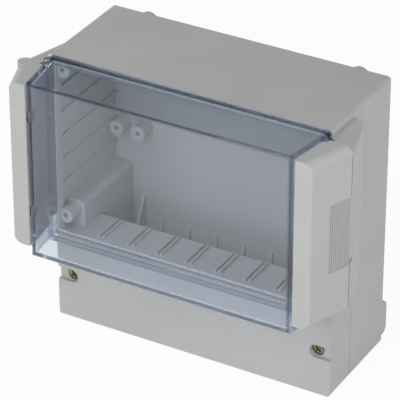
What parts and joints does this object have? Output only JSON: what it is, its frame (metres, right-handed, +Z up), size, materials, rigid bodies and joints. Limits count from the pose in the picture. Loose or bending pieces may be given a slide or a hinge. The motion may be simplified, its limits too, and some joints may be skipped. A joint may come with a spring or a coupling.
{
  "type": "plastic enclosure",
  "caption": "Wall-mounted grey plastic enclosure with a clear hinged door over a board bay and a screwed cover over a terminal bay.",
  "frame": {"origin": "centre of the bounding box, at the bottom of the base", "axes": "+X to the right seen from the front, +Y to the back and the wall, +Z up"},
  "size_m": [0.2332, 0.123, 0.1959],
  "materials": {
    "grey_plastic": "fine matt mould texture",
    "strip_plastic": "fine matt mould texture",
    "clear_plastic": "clear, glossy, faint blue tint",
    "seal": "matt",
    "steel": "ground",
    "screw": "yellow passivated",
    "brass": "turned"
  },
  "bodies": {
    "base": {"base": "grey_plastic", "door_seal": "seal", "terminal_cover": "grey_plastic", "terminal_seal": "seal", "cover_screw_left": "screw", "cover_screw_right": "screw", "brass_insert_left": "brass", "brass_insert_right": "brass"},
    "door": {"door": "clear_plastic", "hinge_strip": "strip_plastic", "hinge_pin_lower": "steel", "hinge_pin_upper": "steel", "left_strip_pin_lower": "steel", "left_strip_pin_upper": "steel"},
    "latch": {"latch_strip": "strip_plastic", "latch_pin_lower": "steel", "latch_pin_upper": "steel"}
  },
  "joints": [
    {"name": "door_hinge", "type": "hinge", "parent": "base", "child": "door", "pos_m": [-0.11058, -0.0337, 0.134], "axis": [0, 0, -1], "range_deg": [0, 110]},
    {"name": "latch_turn", "type": "hinge", "parent": "door", "child": "latch", "pos_m": [0.09865, -0.0552, 0.134], "axis": [0, 0, -1], "range_deg": [0, 10]}
  ]
}
